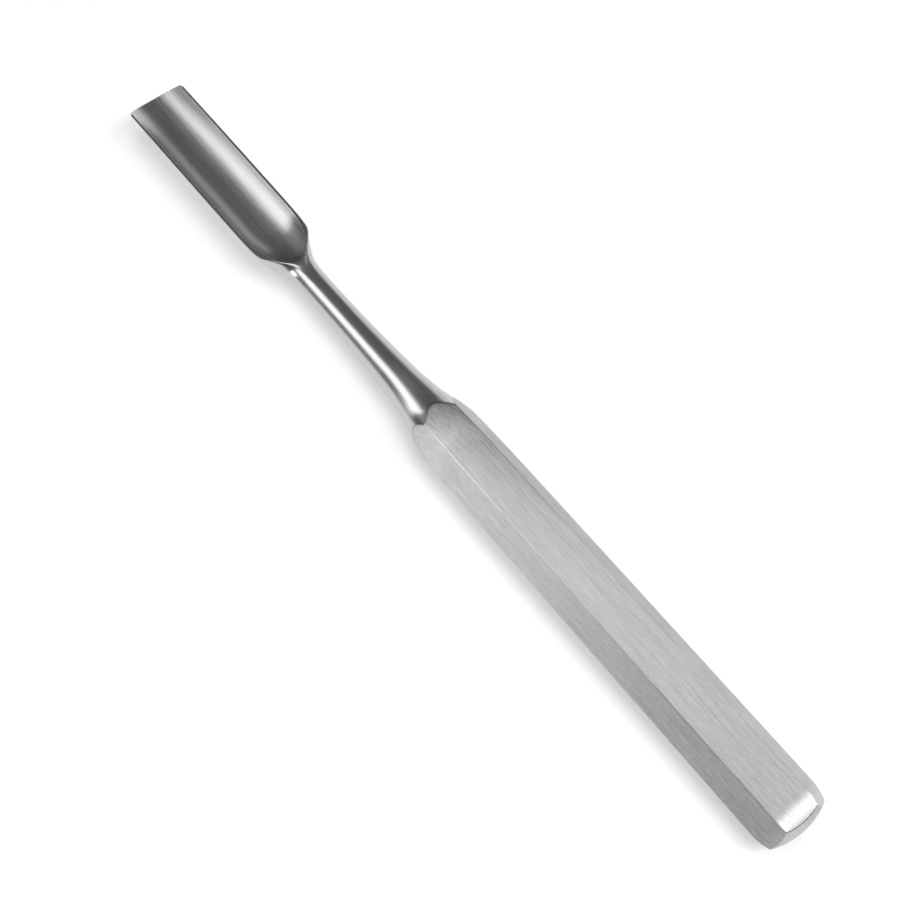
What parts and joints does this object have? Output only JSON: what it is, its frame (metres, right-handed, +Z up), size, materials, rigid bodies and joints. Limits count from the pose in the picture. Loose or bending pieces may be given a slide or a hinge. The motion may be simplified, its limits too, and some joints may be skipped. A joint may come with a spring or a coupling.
{
  "type": "bone gouge",
  "caption": "One-piece steel surgical bone gouge: scooped half-round blade, slim round neck, flattened hexagonal handle with a domed striking end.",
  "frame": {"origin": "centre of the bounding box at its bottom, on the plane of the handle's lower facet", "axes": "+X along the tool from the cutting edge to the domed butt, +Z up out of the channel's open side, +Y across the width to the left when looking from the cutting edge to the butt"},
  "size_m": [0.205, 0.0148, 0.0097],
  "materials": {
    "steel": "satin stainless steel, brushed lengthwise on the handle, smoother on the neck"
  },
  "bodies": {
    "root": {"gouge": "steel"}
  },
  "joints": []
}
